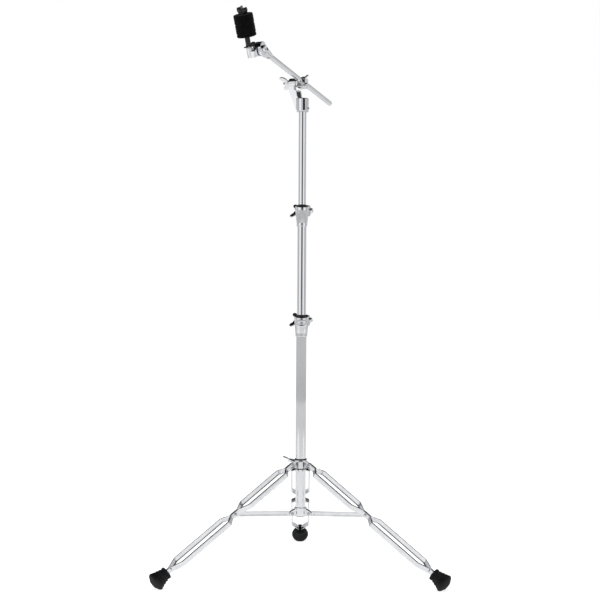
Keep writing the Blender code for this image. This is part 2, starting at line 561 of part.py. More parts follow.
def build_cymbal_seat(post, looks):
    """What the stem carries, from its cup washer up to its wing nut."""
    hole = STEM_R + GAP
    under, over = WASHER_Z + 0.0006, WASHER_Z + 0.0014
    washer = [(hole, WASHER_Z - 0.0006), (0.0060, WASHER_Z - 0.0006), (0.0118, under),
              (0.0120, over), (0.0060, over), (hole, over)]
    node("cup_washer", turned(washer), looks["chrome"], post)
    felt_top = FELT_Z + sum(FELT_THICKNESSES.values()) + GAP * (len(FELT_THICKNESSES) - 1)
    flange, sleeve_top = SLEEVE_R + 0.0012, felt_top - 0.0010
    sleeve = [(hole, SLEEVE_Z), (flange, SLEEVE_Z), (flange, SLEEVE_Z + 0.0020),
              (SLEEVE_R, SLEEVE_Z + 0.0030), (SLEEVE_R, sleeve_top), (hole, sleeve_top)]
    node("cymbal_sleeve", turned(sleeve, 20), looks["plastic"], post)
    low = FELT_Z
    for name, thick in FELT_THICKNESSES.items():
        soft = min(0.0022, thick / 3)
        high = low + thick
        profile = [(FELT_BORE, low), (FELT_R - soft, low), (FELT_R, low + soft),
                   (FELT_R, high - soft), (FELT_R - soft, high), (FELT_BORE, high)]
        node(f"{name}_felt", turned(profile), looks["felt"], post)
        low = high + GAP
    winged("top_nut", looks["plastic"], post, Matrix.Translation((0, 0, low)) @ spin(60),
           (0.0100, 0, 0.0120), 0.0012, 0.0150, 0.0320, bore=hole, thickness=0.0100)


def main():
    clear_scene()
    looks = {
        "chrome": material("chrome", (0.78, 0.79, 0.80), 0.08, 1.0),
        "steel": material("zinc_steel", (0.55, 0.56, 0.58), 0.30, 1.0),
        "plastic": material("black_nylon", (0.02, 0.02, 0.02), 0.45, 0.0),
        "rubber": material("black_rubber", (0.025, 0.025, 0.025), 0.75, 0.0),
        "felt": material("black_felt", (0.015, 0.015, 0.015), 0.95, 0.0),
    }
    mast = empty("mast_axis", None, place((0, MAST_Y, 0)))
    build_base(mast, looks)
    build_collar(mast, looks)
    build_legs(mast, looks)
    build_mast(mast, looks)
    swivel = build_boom_base(mast, looks)
    slide = build_boom(swivel, looks)
    head = build_tilter(slide, looks)
    build_stem(head, looks)


main()
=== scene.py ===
"""The cymbal boom stand's looks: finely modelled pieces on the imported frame, materials, light, camera.

Metres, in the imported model's own frame. Each piece stands for the CAD node of the same name.
"""
import json
import math

import bmesh
import bpy
from mathutils import Matrix, Vector, noise


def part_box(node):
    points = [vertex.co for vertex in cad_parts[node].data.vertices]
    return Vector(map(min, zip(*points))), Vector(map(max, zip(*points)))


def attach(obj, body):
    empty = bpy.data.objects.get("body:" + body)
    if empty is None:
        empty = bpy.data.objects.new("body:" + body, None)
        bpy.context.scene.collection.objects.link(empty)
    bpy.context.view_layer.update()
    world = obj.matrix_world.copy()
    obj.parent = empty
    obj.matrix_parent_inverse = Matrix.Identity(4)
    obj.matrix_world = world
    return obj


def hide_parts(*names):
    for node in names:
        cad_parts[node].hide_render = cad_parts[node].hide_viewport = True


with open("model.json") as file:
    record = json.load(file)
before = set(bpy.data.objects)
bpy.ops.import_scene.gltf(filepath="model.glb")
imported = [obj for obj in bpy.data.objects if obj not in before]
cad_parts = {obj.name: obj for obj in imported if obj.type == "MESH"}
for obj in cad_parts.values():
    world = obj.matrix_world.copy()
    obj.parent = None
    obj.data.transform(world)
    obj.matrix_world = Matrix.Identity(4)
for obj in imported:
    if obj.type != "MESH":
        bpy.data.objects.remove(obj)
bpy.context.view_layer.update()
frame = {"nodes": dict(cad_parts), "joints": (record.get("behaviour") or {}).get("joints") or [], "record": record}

JOINTS = {joint["name"]: joint for joint in frame["joints"]}
BODY_OF = {node: body for body, nodes in frame["record"]["behaviour"]["bodies"].items() for node in nodes}
UP = Vector((0, 0, 1))
GAP = 0.0003
SIDES = 72

# Sizes of the real pieces, as in the CAD model
BASE_R, BASE_BORE = 0.0127, 0.0113
MID_R, MID_BORE = 0.0111, 0.00973
TOP_R, TOP_BORE = 0.009525, 0.0083
LEG_LENGTH, FOOT_LENGTH = 0.4502, 0.0440
FOOT_TOP_R, FOOT_R, FOOT_EDGE = 0.0152, 0.0228, 0.0080
STRAP_HEIGHT, STRAP_WEB = 0.0128, 0.0015
STRAP_BOW, STRAP_SHUT = 0.0245, 0.0042
STAY_HEIGHT, STAY_THICK = 0.0124, 0.0030
PIN_R = 0.0025
BOLT_R, BOLT_HOLE_R, PITCH = 0.0030, 0.0033, 0.0010
COLLAR_BORE, COLLAR_R = 0.0139, 0.0156
HUB_BORE, HUB_R = 0.0130, 0.0156
CLAMP_HEIGHT, CLAMP_BOLT_OUT, CLAMP_BOLT_DOWN = 0.0570, 0.0232, 0.0160
ROD_R = 0.0060
RATCHET_R, TILTER_DISC_R = 0.0125, 0.0165
FACING = 25.0                      # from the boom's direction to the stand's front
STEM_R, SLEEVE_R = 0.0030, 0.0060
SEAT_Z, SLEEVE_Z = 0.0115, 0.0137  # the washer's and the sleeve's undersides, up the stem
FELT_R, FELT_BORE = 0.0226, 0.0064


# Places -------------------------------------------------------------------------------------
def joint_place(name):
    return Vector(JOINTS[name].get("pos_m", (0, 0, 0))), Vector(JOINTS[name]["axis"]).normalized()


def basis(origin, z, x):
    """A frame at origin with its Z along z and its X as near to x as it can be."""
    z = z.normalized()
    y = z.cross(x).normalized()
    made = Matrix((y.cross(z), y, z)).transposed().to_4x4()
    made.translation = origin
    return made


def middle(node):
    low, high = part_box(node)
    return (low + high) / 2


def shift(x=0.0, y=0.0, z=0.0):
    return Matrix.Translation((x, y, z))


def turn(degrees, axis="Z"):
    return Matrix.Rotation(math.radians(degrees), 4, axis)


MAST = joint_place("boom_swivel")[0]
MAST.z = 0
MAST_FRAME = shift(*MAST)


# Materials ----------------------------------------------------------------------------------
class Look:
    """A Principled material with helpers that wire its procedural detail."""

    def __init__(self, name, colour, metallic, roughness):
        self.material = bpy.data.materials.new(name)
        self.material.use_nodes = True
        self.nodes = self.material.node_tree.nodes
        self.links = self.material.node_tree.links
        self.shader = self.nodes["Principled BSDF"]
        self.shader.inputs["Base Color"].default_value = (*colour, 1)
        self.shader.inputs["Metallic"].default_value = metallic
        self.shader.inputs["Roughness"].default_value = roughness
        self.place = self.nodes.new("ShaderNodeTexCoord").outputs["Object"]
        self.last_bump = None

    def noise(self, scale, detail=4.0, roughness=0.55, stretch=None):
        made = self.nodes.new("ShaderNodeTexNoise")
        made.inputs["Scale"].default_value = scale
        made.inputs["Detail"].default_value = detail
        made.inputs["Roughness"].default_value = roughness
        source = self.place
        if stretch:
            mapping = self.nodes.new("ShaderNodeMapping")
            mapping.inputs["Scale"].default_value = stretch
            self.links.new(source, mapping.inputs["Vector"])
            source = mapping.outputs["Vector"]
        self.links.new(source, made.inputs["Vector"])
        return made.outputs["Fac"]

    def ramp(self, value, low, high, start=0.35, end=0.65):
        """Maps value from start..end to low..high."""
        made = self.nodes.new("ShaderNodeMapRange")
        made.inputs["From Min"].default_value = start
        made.inputs["From Max"].default_value = end
        made.inputs["To Min"].default_value = low
        made.inputs["To Max"].default_value = high
        self.links.new(value, made.inputs["Value"])
        return made.outputs["Result"]

    def roughness(self, value):
        self.links.new(value, self.shader.inputs["Roughness"])

    def colours(self, value, dark, light, start=0.35, end=0.65):
        made = self.nodes.new("ShaderNodeValToRGB")
        made.color_ramp.elements[0].position = start
        made.color_ramp.elements[0].color = (*dark, 1)
        made.color_ramp.elements[1].position = end
        made.color_ramp.elements[1].color = (*light, 1)
        self.links.new(value, made.inputs["Fac"])
        self.links.new(made.outputs["Color"], self.shader.inputs["Base Color"])

    def bump(self, height, distance, strength=1.0):
        made = self.nodes.new("ShaderNodeBump")
        made.inputs["Distance"].default_value = distance
        made.inputs["Strength"].default_value = strength
        self.links.new(height, made.inputs["Height"])
        if self.last_bump:
            self.links.new(self.last_bump, made.inputs["Normal"])
        self.last_bump = made.outputs["Normal"]
        self.links.new(self.last_bump, self.shader.inputs["Normal"])


def tube_chrome():
    """Bright plating on drawn tube: faint lengthwise polish lines and a few cloudy smudges."""
    look = Look("tube_chrome", (0.80, 0.81, 0.83), 1.0, 0.08)
    look.roughness(look.ramp(look.noise(18, 5), 0.04, 0.08))
    look.colours(look.noise(9, 3), (0.78, 0.79, 0.815), (0.83, 0.84, 0.855), 0.3, 0.7)
    look.bump(look.noise(500, 2, 0.5, (1, 1, 0.03)), 0.0000015, 0.15)
    return look.material


def cast_chrome():
    """Plating over a die casting: a little softer, with a slight orange peel."""
    look = Look("cast_chrome", (0.80, 0.81, 0.83), 1.0, 0.1)
    look.roughness(look.ramp(look.noise(60, 4), 0.07, 0.15))
    look.colours(look.noise(40, 3), (0.76, 0.77, 0.795), (0.83, 0.84, 0.855), 0.3, 0.7)
    look.bump(look.noise(260, 3), 0.00003, 0.3)
    return look.material


def pressed_chrome():
    """Plated pressed strip: a fine even grain, and softer reflections."""
    look = Look("pressed_chrome", (0.79, 0.80, 0.82), 1.0, 0.14)
    look.roughness(look.ramp(look.noise(45, 4), 0.10, 0.20))
    look.colours(look.noise(30, 3), (0.74, 0.75, 0.775), (0.83, 0.84, 0.85), 0.3, 0.7)
    look.bump(look.noise(220, 3), 0.00004, 0.25)
    return look.material


def zinc_steel():
    look = Look("zinc_steel", (0.56, 0.57, 0.60), 1.0, 0.28)
    look.roughness(look.ramp(look.noise(120, 5), 0.20, 0.38))
    look.colours(look.noise(70, 4), (0.44, 0.45, 0.48), (0.62, 0.63, 0.65), 0.3, 0.7)
    look.bump(look.noise(700, 3), 0.00002, 0.4)
    return look.material


def black_nylon():
    look = Look("black_nylon", (0.018, 0.018, 0.019), 0.0, 0.42)
    look.roughness(look.ramp(look.noise(90, 4), 0.34, 0.52))
    look.colours(look.noise(50, 3), (0.006, 0.006, 0.007), (0.014, 0.014, 0.015))
    look.bump(look.noise(1400, 2), 0.00003, 0.35)
    look.shader.inputs["Specular IOR Level"].default_value = 0.45
    return look.material


def black_rubber():
    """Moulded rubber: matt, a fine grain, and a grey bloom of dust in patches."""
    look = Look("black_rubber", (0.02, 0.02, 0.02), 0.0, 0.7)
    look.roughness(look.ramp(look.noise(70, 5), 0.58, 0.85))
    look.colours(look.noise(35, 6, 0.65), (0.004, 0.004, 0.0045), (0.020, 0.020, 0.021), 0.35, 0.75)
    look.bump(look.noise(1700, 3, 0.7), 0.00008, 0.5)
    look.bump(look.noise(150, 4), 0.0001, 0.25)
    look.shader.inputs["Specular IOR Level"].default_value = 0.3
    return look.material


def black_felt():
    """Pressed wool: matted fibres in two sizes, with a soft sheen at its edges."""
    look = Look("black_felt", (0.006, 0.006, 0.006), 0.0, 0.95)
    fibres = look.noise(1300, 8, 0.75, (1.0, 1.0, 0.55))
    look.colours(look.noise(420, 6, 0.7), (0.0015, 0.0015, 0.0017), (0.012, 0.012, 0.013), 0.35, 0.75)
    look.bump(look.noise(260, 5, 0.7), 0.0006, 0.5)
    look.bump(fibres, 0.0005, 0.8)
    look.shader.inputs["Specular IOR Level"].default_value = 0.0
    look.shader.inputs["Sheen Weight"].default_value = 0.06
    look.shader.inputs["Sheen Roughness"].default_value = 0.5
    return look.material


# Shape tools --------------------------------------------------------------------------------
def turned(profile, sides=SIDES):
    """A closed solid turned about Z from (radius, height) points: a closed outline, or one that
    starts and ends on the axis."""
    bm = bmesh.new()
    rings = []
    for radius, height in profile:
        if radius == 0:
            rings.append([bm.verts.new((0, 0, height))])
            continue
        angles = [2 * math.pi * k / sides for k in range(sides)]
        rings.append([bm.verts.new((radius * math.cos(a), radius * math.sin(a), height)) for a in angles])
    bridge(bm, rings + rings[:1] if len(rings[0]) > 1 else rings)
    return bm


def bridge(bm, rings):
    """Faces from each ring of points to the next. A ring of one point closes an end."""
    for one, two in zip(rings, rings[1:]):
        count = max(len(one), len(two))
        for k in range(count):
            nxt = (k + 1) % count
            if len(one) == 1:
                bm.faces.new((one[0], two[k], two[nxt]))
            elif len(two) == 1:
                bm.faces.new((one[k], one[nxt], two[0]))
            else:
                bm.faces.new((one[k], one[nxt], two[nxt], two[k]))


def rod_profile(radius, low, high, round_off=0.0):
    if round_off == 0:
        return [(0, low), (radius, low), (radius, high), (0, high)]
    bottom = arc((radius - round_off, low + round_off), round_off, -90, 0, 5)
    top = arc((radius - round_off, high - round_off), round_off, 0, 90, 5)
    return [(0, low), *bottom, *wall_holders(radius, low + round_off, high - round_off), *top, (0, high)]


def wall_holders(radius, low, high):
    """Rings just inside a long wall's ends, which keep its shading straight all the way along."""
    inset = min(0.001, (high - low) / 4)
    return [(radius, low + inset), (radius, high - inset)]


def ring_profile(bore, radius, low, high, soft=0.0004):
    return [(bore, low), *arc((radius - soft, low + soft), soft, -90, 0, 4),
            *wall_holders(radius, low + soft, high - soft),
            *arc((radius - soft, high - soft), soft, 0, 90, 4), (bore, high)]


def arc(centre, radius, start, end, count):
    angles = [math.radians(start + (end - start) * k / (count - 1)) for k in range(count)]
    return [(centre[0] + radius * math.cos(a), centre[1] + radius * math.sin(a)) for a in angles]


def plate(outline, low, high):
    """An outline in X and Z, given thickness along Y."""
    bm = bmesh.new()
    face = bm.faces.new([bm.verts.new((x, low, z)) for x, z in outline])
    grown = bmesh.ops.extrude_face_region(bm, geom=[face])
    moved = [item for item in grown["geom"] if isinstance(item, bmesh.types.BMVert)]
    bmesh.ops.translate(bm, verts=moved, vec=(0, high - low, 0))
    return bm


def block(low, high):
    corners = [(low[0], low[2]), (high[0], low[2]), (high[0], high[2]), (low[0], high[2])]
    return plate(corners, low[1], high[1])


def wrapped_oval(radii, half_angle, half_height, height):
    """An oval pad that follows a round wall, facing -Y: radii are its inner and outer ones."""
    rim, steps = 48, 6
    bm = bmesh.new()
    skins = []
    for radius in radii:
        skin = [[bm.verts.new((0, -radius, height))]]
        for step in range(1, steps + 1):
            ring = []
            for k in range(rim):
                a = 2 * math.pi * k / rim
                across = math.radians(270 + half_angle * math.cos(a) * step / steps)
                z = height + half_height * math.sin(a) * step / steps
                ring.append(bm.verts.new((radius * math.cos(across), radius * math.sin(across), z)))
            skin.append(ring)
        bridge(bm, skin)
        skins.append(skin[-1])
    bridge(bm, skins)
    return bm


def along_y(radius, low, high, sides=48):
    bm = turned(rod_profile(radius, low, high), sides)
    bm.transform(turn(-90, "X"))
    return bm


def pin_hole():
    return along_y(PIN_R + 0.0002, -0.01, 0.01, 24)


def threaded(low, high, radius=BOLT_R, sides=28, steps=8):
    """A screw thread along Z: a rod whose radius rises and falls along a helix, with a blunt end."""
    depth = 0.55 * PITCH
    count = max(2, int((high - low) / PITCH * steps))
    bm = bmesh.new()
    rings = []
    for i in range(count + 1):
        z = low + (high - low) * i / count
        fade = min(1.0, (high - z) / (1.2 * PITCH))
        ring = []
        for k in range(sides):
            wave = (z / PITCH - k / sides) % 1.0
            drop = depth * (1 - abs(2 * wave - 1)) * 0.9 + (1 - fade) * depth * 0.7
            r = radius - min(depth, drop)
            a = 2 * math.pi * k / sides
            ring.append(bm.verts.new((r * math.cos(a), r * math.sin(a), z)))
        rings.append(ring)
    bridge(bm, rings)
    bm.faces.new(rings[0])
    bm.faces.new(rings[-1])
    return bm


def made_object(name, bm, matrix=Matrix()):
    bmesh.ops.recalc_face_normals(bm, faces=bm.faces)
    mesh = bpy.data.meshes.new(name)
    bm.to_mesh(mesh)
    bm.free()
    made = bpy.data.objects.new(name, mesh)
    bpy.context.scene.collection.objects.link(made)
    made.matrix_world = matrix
    return made


class Solid:
    """A shape under construction in its own frame: shapes are joined to it and cut from it."""

    def __init__(self, name, bm, frame_matrix):
        self.name = name
        self.matrix = frame_matrix
        self.object = made_object(name, bm, frame_matrix)
        self.tools = []

    def _combine(self, bm, operation, matrix):
        tool = made_object(self.name + "_tool", bm, self.matrix @ matrix)
        tool.hide_render = True
        change = self.object.modifiers.new(operation, "BOOLEAN")
        change.operation = operation
        change.solver = "EXACT"
        change.object = tool
        self.tools.append(tool)
        return self

    def add(self, bm, matrix=Matrix()):
        return self._combine(bm, "UNION", matrix)

    def cut(self, bm, matrix=Matrix()):
        return self._combine(bm, "DIFFERENCE", matrix)

    def soften(self, voxel=0.00045, rounds=6):
        """Rounds every edge and inner corner a little, as casting or moulding does."""
        cells = self.object.modifiers.new("cells", "REMESH")
        cells.mode = "VOXEL"
        cells.voxel_size = voxel
        cells.use_smooth_shade = True
        smooth = self.object.modifiers.new("smooth", "SMOOTH")
        smooth.factor = 0.5
        smooth.iterations = rounds
        return self

    def bevel(self, width=0.0003, segments=2):
        change = self.object.modifiers.new("bevel", "BEVEL")
        change.width = width
        change.segments = segments
        change.limit_method = "ANGLE"
        change.angle_limit = math.radians(40)
        change.use_clamp_overlap = True
        return self

    def done(self, material, sharp=35):
        """Applies everything, gives the piece its material, and rides it in place of its node."""
        graph = bpy.context.evaluated_depsgraph_get()
        graph.update()
        mesh = bpy.data.meshes.new_from_object(self.object.evaluated_get(graph))
        self.object.modifiers.clear()
        self.object.data = mesh
        for tool in self.tools:
            bpy.data.objects.remove(tool, do_unlink=True)
        mesh.materials.clear()
        mesh.materials.append(material)
        mesh.shade_smooth()
        mesh.set_sharp_from_angle(angle=math.radians(sharp))
        self.object.name = self.name + "_fine"
        node = self.name
        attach(self.object, BODY_OF[node])
        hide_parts(node)
        return self.object


def simple(name, bm, material, matrix, sharp=35):
    return Solid(name, bm, matrix).done(material, sharp)


# A wing's outline, as parts of half its span and of its rise, from its root out and back
WING = [(0.32, 0.01), (0.60, 0.09), (0.82, 0.25), (0.96, 0.47), (1.00, 0.66), (0.99, 0.80), (0.95, 0.92),
        (0.85, 1.00), (0.72, 0.98), (0.60, 0.90), (0.50, 0.76), (0.40, 0.60)]


def winged(name, look, matrix, hub, start, end, span, bore, thickness=0.0034):
    """A cast wing nut or bolt along its own +Z: hub is (radius, low, high)."""
    radius, low, high = hub
    waist = low + 0.3 * (high - low)
    profile = [(0, low), (radius - 0.0006, low), (radius, low + 0.0006), (radius, waist),
               (0.84 * radius, waist + 0.0012), (0.78 * radius, high - 0.0008), (0.70 * radius, high),
               (0, high)]
    made = Solid(name, turned(profile, 40), matrix)
    root, rise, half = 0.35 * radius, end - start, span / 2
    wing = [(root, start), *[(out * half, start + up * rise) for out, up in WING],
            (root, start + 0.50 * rise)]
    for side in (1, -1):
        made.add(plate([(side * x, z) for x, z in wing], -thickness / 2, thickness / 2))
    if bore:
        made.cut(turned(rod_profile(bore, low - 0.01, end + 0.01), 32))
    made.soften(0.0004, 7).done(look)


# Base, collar and legs ----------------------------------------------------------------------
def build_base(looks):
    low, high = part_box("base_tube")
    simple("base_tube", turned(ring_profile(BASE_BORE, BASE_R, low.z, high.z)), looks["tube"], MAST_FRAME)
    low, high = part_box("base_tube_plug")
    lip = BASE_R - GAP
    shank = BASE_BORE - 0.0004
    seat = high.z - 0.012 - GAP
    plug = [(0, low.z + 0.0004), (0.006, low.z + 0.0002), (0.0065, low.z),
            *arc((lip - 0.0006, low.z + 0.0006), 0.0006, -90, 0, 4), (lip, seat), (shank, seat),
            (shank, high.z - 0.001), (shank - 0.001, high.z), (0, high.z)]
    simple("base_tube_plug", turned(plug), looks["nylon"], MAST_FRAME)

    low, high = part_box("hub_bracket")
    hub = Solid("hub_bracket", turned(ring_profile(HUB_BORE, HUB_R, low.z, high.z, 0.0008), 64), MAST_FRAME)
    for leg in LEGS.values():
        pivot = leg["hub"]
        radius, height = (pivot - MAST).xy.length, pivot.z
        cheek = [(0.0139, low.z + 0.0004), (radius + 0.002, low.z + 0.0004),
                 *arc((radius, height + 0.0004), 0.0068, -60, 75, 12),
                 (0.0185, high.z - 0.0042), (0.0162, high.z - 0.0022), (0.0139, high.z - 0.0006)]
        inner, outer = STAY_THICK / 2 + 0.0004, STAY_THICK / 2 + 0.0028
        for side in ((inner, outer), (-outer, -inner)):
            hub.add(plate(cheek, *side), turn(leg["azimuth"]))
        hub.cut(pin_hole(), turn(leg["azimuth"]) @ shift(radius, 0, height))
    hub.soften(0.0004, 4).done(looks["cast"])


def build_collar(looks):
    low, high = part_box("leg_collar")
    pivot = middle("left_leg_top_pin")
    radius, height = (pivot - MAST).xy.length, pivot.z
    ring = turned(ring_profile(COLLAR_BORE, COLLAR_R, low.z, high.z, 0.0012), 64)
    collar = Solid("leg_collar", ring, MAST_FRAME)
    ear = [(0.0146, low.z + 0.0015), (radius - 0.002, low.z + 0.003),
           *arc((radius, height), 0.0056, -60, 75, 12), (0.0180, high.z - 0.0030), (0.0146, high.z - 0.0022)]
    for leg in LEGS.values():
        collar.add(plate(ear, -0.0020, 0.0020), turn(leg["azimuth"]))
        collar.cut(pin_hole(), turn(leg["azimuth"]) @ shift(radius, 0, height))
    collar.add(block((0.0140, -0.0056, low.z + 0.003), (0.0172, 0.0056, high.z - 0.003)), turn(270))
    for side in (-1, 1):
        slot = block((0.0135, -0.0012, low.z + 0.0045), (0.0200, 0.0012, high.z - 0.0045))
        collar.cut(slot, turn(270 + side * 29))
    place, axis = joint_place("collar_wing_turn")
    stub = basis(place, axis, UP)
    bolt = MAST_FRAME.inverted() @ stub
    collar.add(turned(rod_profile(0.0057, 0.0148, 0.0224, 0.0008), 40), bolt)
    collar.cut(turned(rod_profile(BOLT_HOLE_R, 0.0100, 0.0260), 32), bolt)
    collar.soften(0.0004, 4).done(looks["cast"])
    bore, lip = BASE_R + 0.0002, 0.0152
    bottom, top = low.z, high.z
    sleeve = [(bore, bottom - 0.0025), *arc((lip - 0.0007, bottom - 0.0018), 0.0007, -90, 0, 4),
              (lip, bottom - GAP), (COLLAR_BORE - GAP, bottom - GAP), (COLLAR_BORE - GAP, top + GAP),
              (lip, top + GAP), *arc((lip - 0.0007, top + 0.0018), 0.0007, 0, 90, 4), (bore, top + 0.0025)]
    simple("collar_bushing", turned(sleeve), looks["nylon"], MAST_FRAME)
    winged("collar_wing_bolt", looks["cast"], wing_frame("collar_wing_bolt", "collar_wing_turn"),
           (0.0052, 0.0240, 0.0345), 0.0265, 0.0450, 0.0380, 0)
    steel("collar_wing_bolt_thread", threaded(0.0150, 0.0246, 0.0029), stub, "collar_wing", looks)


def wing_frame(node, joint_name):
    """A winged piece's frame: its Z along its joint's axis, its X along its CAD node's wings."""
    place, axis = joint_place(joint_name)
    at = basis(place, axis, axis.orthogonal())
    inverse = at.inverted()
    points = [inverse @ v.co for v in frame["nodes"][node].data.vertices]
    far = max(p.xy.length for p in points)
    double = sum((complex(p.x, p.y) ** 2 for p in points if p.xy.length > 0.93 * far), complex(0, 0))
    return at @ turn(math.degrees(math.atan2(double.imag, double.real)) / 2)


def steel(name, bm, matrix, body, looks):
    """A small steel piece that stands for no node of its own."""
    obj = made_object(name, bm, matrix)
    obj.data.materials.append(looks["zinc"])
    obj.data.shade_smooth()
    obj.data.set_sharp_from_angle(angle=math.radians(50))
    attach(obj, body)


def ease(value):
    value = min(1.0, max(0.0, value))
    return value * value * (3 - 2 * value)


BEND_SAMPLES = (-0.0015, -0.0009, -0.0003, 0.0003, 0.0009, 0.0015)


def strap_shape(x, top, tip):
    """(outer face, flange depth, half height) of a strap at x down the leg from the waist."""
    ramps = [(top + 0.0205, top + 0.0330, 1), (-0.0345, -0.0105, -1), (0.0125, 0.0295, 1),
             (tip - 0.0375, tip - 0.0085, -1)]
    bowed = 0.0
    for start, end, sense in ramps:
        bends = [min(1.0, max(0.0, (x + shift_x - start) / (end - start))) for shift_x in BEND_SAMPLES]
        bowed += sense * sum(bends) / len(bends)
    out = STRAP_SHUT + (STRAP_BOW - STRAP_SHUT) * bowed
    depth = STRAP_WEB + 0.00015 + (0.0038 - STRAP_WEB) * ease(bowed * 2.2)
    half = STRAP_HEIGHT / 2
    from_end = x - (top - 0.0062)
    if from_end < 0.0052:
        half = math.sqrt(max(0.0, 0.0052 ** 2 - (0.0052 - from_end) ** 2)) + 0.0001
    return out, depth, min(half, STRAP_HEIGHT / 2)


def strap(side, upper):
    """One pressed strap of a leg in the waist's frame: a shallow channel with rounded corners."""
    top, tip = -upper, LEG_LENGTH - upper - FOOT_LENGTH
    start, end = top - 0.0062, tip + 0.0180
    stations = []
    x = start
    while x < end:
        stations.append(x)
        near_ramp = abs(strap_shape(x + 0.002, top, tip)[0] - strap_shape(x - 0.002, top, tip)[0]) > 1e-5
        step = 0.0009 if near_ramp or x < start + 0.006 else 0.006
        x += step
    stations.append(end)
    web, corner = STRAP_WEB, 0.0013
    bm = bmesh.new()
    rings = []
    for x in stations:
        out, depth, half = strap_shape(x, top, tip)
        rise = strap_shape(x + 0.0005, top, tip)[0] - strap_shape(x - 0.0005, top, tip)[0]
        slope = math.atan2(rise, 0.001)
        soft = min(corner, 0.8 * half)
        edge = max(half - web, 0.2 * half)
        inner = min(depth - 0.00005, web)
        section = [*arc((-soft, half - soft), soft, 0, 90, 5), (-depth + 0.0003, half),
                   (-depth, half - 0.0003), (-depth, edge + 0.0002), (-depth + 0.0002, edge), (-inner, edge),
                   (-inner, -edge), (-depth + 0.0002, -edge), (-depth, -edge - 0.0002),
                   (-depth, -half + 0.0003), (-depth + 0.0003, -half),
                   *arc((-soft, -half + soft), soft, -90, 0, 5)]
        sine, cosine = math.sin(slope), math.cos(slope)
        rings.append([bm.verts.new((x - v * sine, side * (out + v * cosine), z)) for v, z in section])
    bridge(bm, rings)
    bm.faces.new(rings[0])
    bm.faces.new(rings[-1])
    return bm


def foot(upper):
    """The ribbed rubber foot, its Z down the leg."""
    top, end = LEG_LENGTH - upper - FOOT_LENGTH, LEG_LENGTH - upper
    rim, inner = end - 0.0120, FOOT_R - FOOT_EDGE
    profile = [(0, top), *arc((FOOT_TOP_R - 0.0012, top + 0.0012), 0.0012, -90, 0, 6),
               *arc((FOOT_TOP_R - 0.0008, top + 0.0050), 0.0008, 0, 80, 4)]
    for k in range(3):
        start = top + 0.0064 + 0.0074 * k
        wall = FOOT_TOP_R - 0.0002 + 0.0021 * k
        profile += [(wall - 0.0016, start - 0.0003), (wall - 0.0016, start + 0.0007),
                    *arc((wall, start + 0.0021), 0.0008, 230, 110, 5), (wall + 0.0012, start + 0.0048),
                    *arc((wall + 0.0006, start + 0.0056), 0.0008, 10, 90, 4)]
    profile += [(inner + x, rim + y) for x, y in arc((0, 0), FOOT_EDGE, 5, 78, 14)]
    profile += [(inner - 0.004, end - 0.0006), (0, end)]
    return turned(profile, 80)


def rivet(reach):
    far = reach + GAP
    half = [(PIN_R, far), (0.0038, far), *arc((0.0022, far + 0.0002), 0.0016, 5, 85, 6), (0, far + 0.0018)]
    bm = turned([(r, -z) for r, z in reversed(half)] + half, 40)
    bm.transform(turn(-90, "X"))
    return bm


def leg_frames():
    """Each leg's places: its hub and waist pivots, its azimuth, and the frames of stay and leg."""
    found = {}
    for name in ("left", "right", "rear"):
        hub, axis = joint_place(f"{name}_stay_hinge")
        waist = joint_place(f"{name}_leg_hinge")[0]
        top = middle(f"{name}_leg_top_pin")
        outward = UP.cross(axis)
        down = waist - top
        across = UP.cross(outward)
        stay = waist - hub
        found[name] = {
            "hub": hub,
            "azimuth": math.degrees(math.atan2(outward.y, outward.x)),
            "upper": down.length,
            "reach": stay.length,
            "leg": basis(waist, down.cross(across), down),
            "stay": basis(hub, stay.cross(across), stay),
        }
    return found


